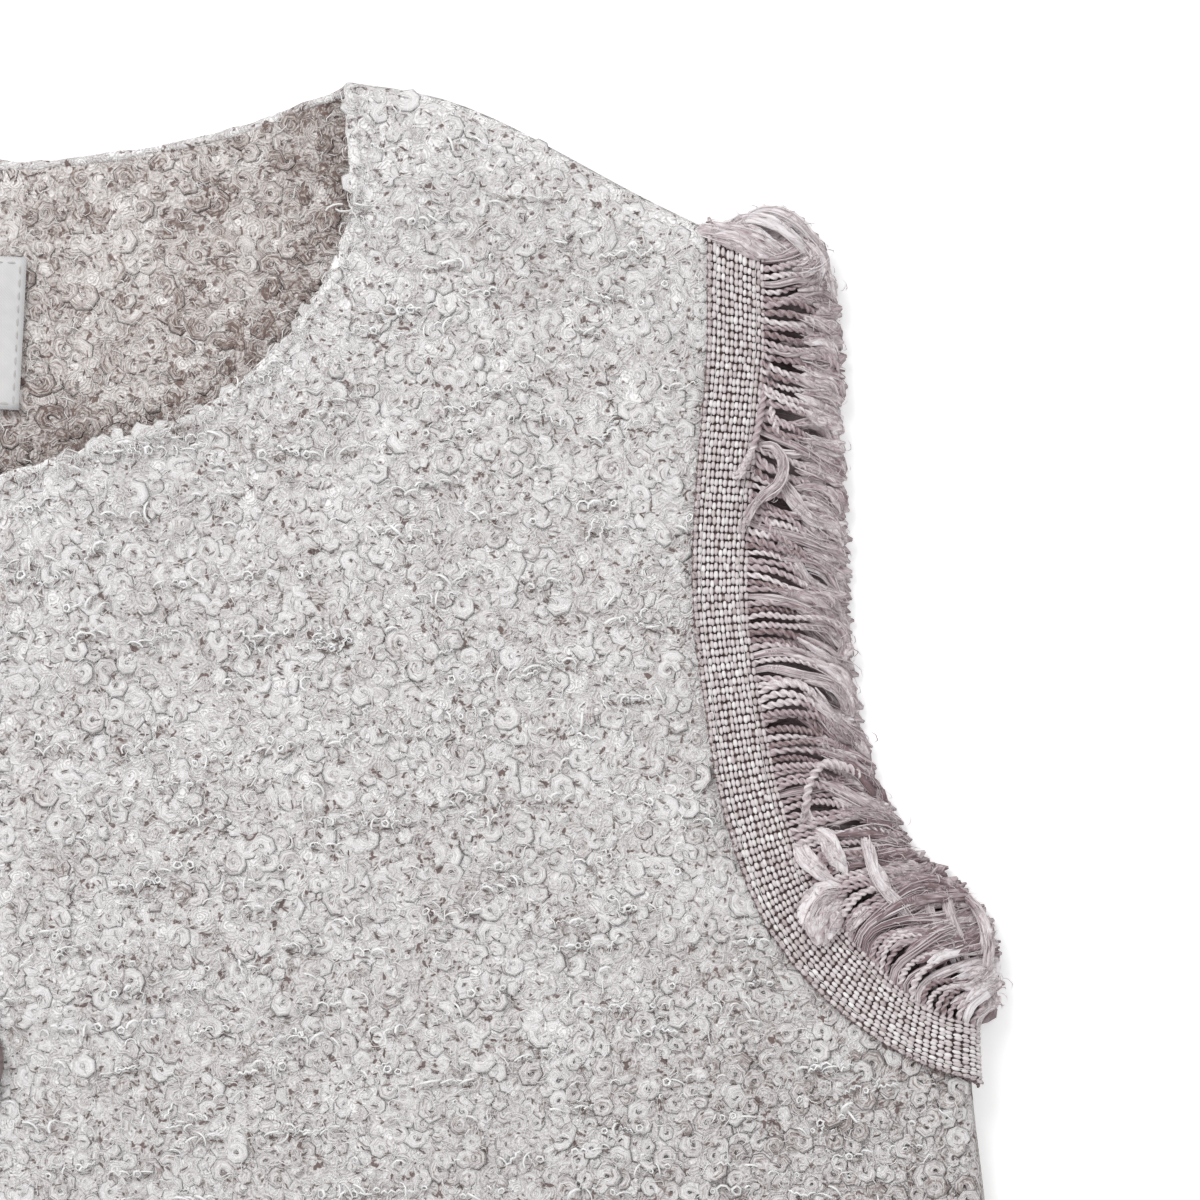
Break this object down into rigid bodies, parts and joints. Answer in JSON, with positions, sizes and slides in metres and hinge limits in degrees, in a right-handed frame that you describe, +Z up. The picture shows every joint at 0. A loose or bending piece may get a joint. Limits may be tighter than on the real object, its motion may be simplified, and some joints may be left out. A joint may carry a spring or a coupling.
{
  "type": "gilet",
  "caption": "Sleeveless round-necked boucle jacket with fringed bands round its armholes and a row of round buttons, lying flat on its back.",
  "frame": {"origin": "on the surface that the garment lies on, below the middle of its laid-out length and width", "axes": "+Z up from the surface, +Y from the hem towards the neck, +X towards the wearer's left"},
  "size_m": [0.5396, 0.56, 0.0167],
  "materials": {
    "boucle_cloth": "matt, looped pile",
    "woven_band": "matt, ribbed weave",
    "fringe": "matt, soft yarn",
    "label": "satin",
    "button": "pearly gloss"
  },
  "bodies": {
    "root": {"back": "boucle_cloth", "front_left": "boucle_cloth", "front_right": "boucle_cloth", "armhole_band_left": "woven_band", "armhole_band_right": "woven_band", "fringe_left": "fringe", "fringe_right": "fringe", "label": "label", "button_1": "button", "button_2": "button", "button_3": "button"}
  },
  "joints": []
}
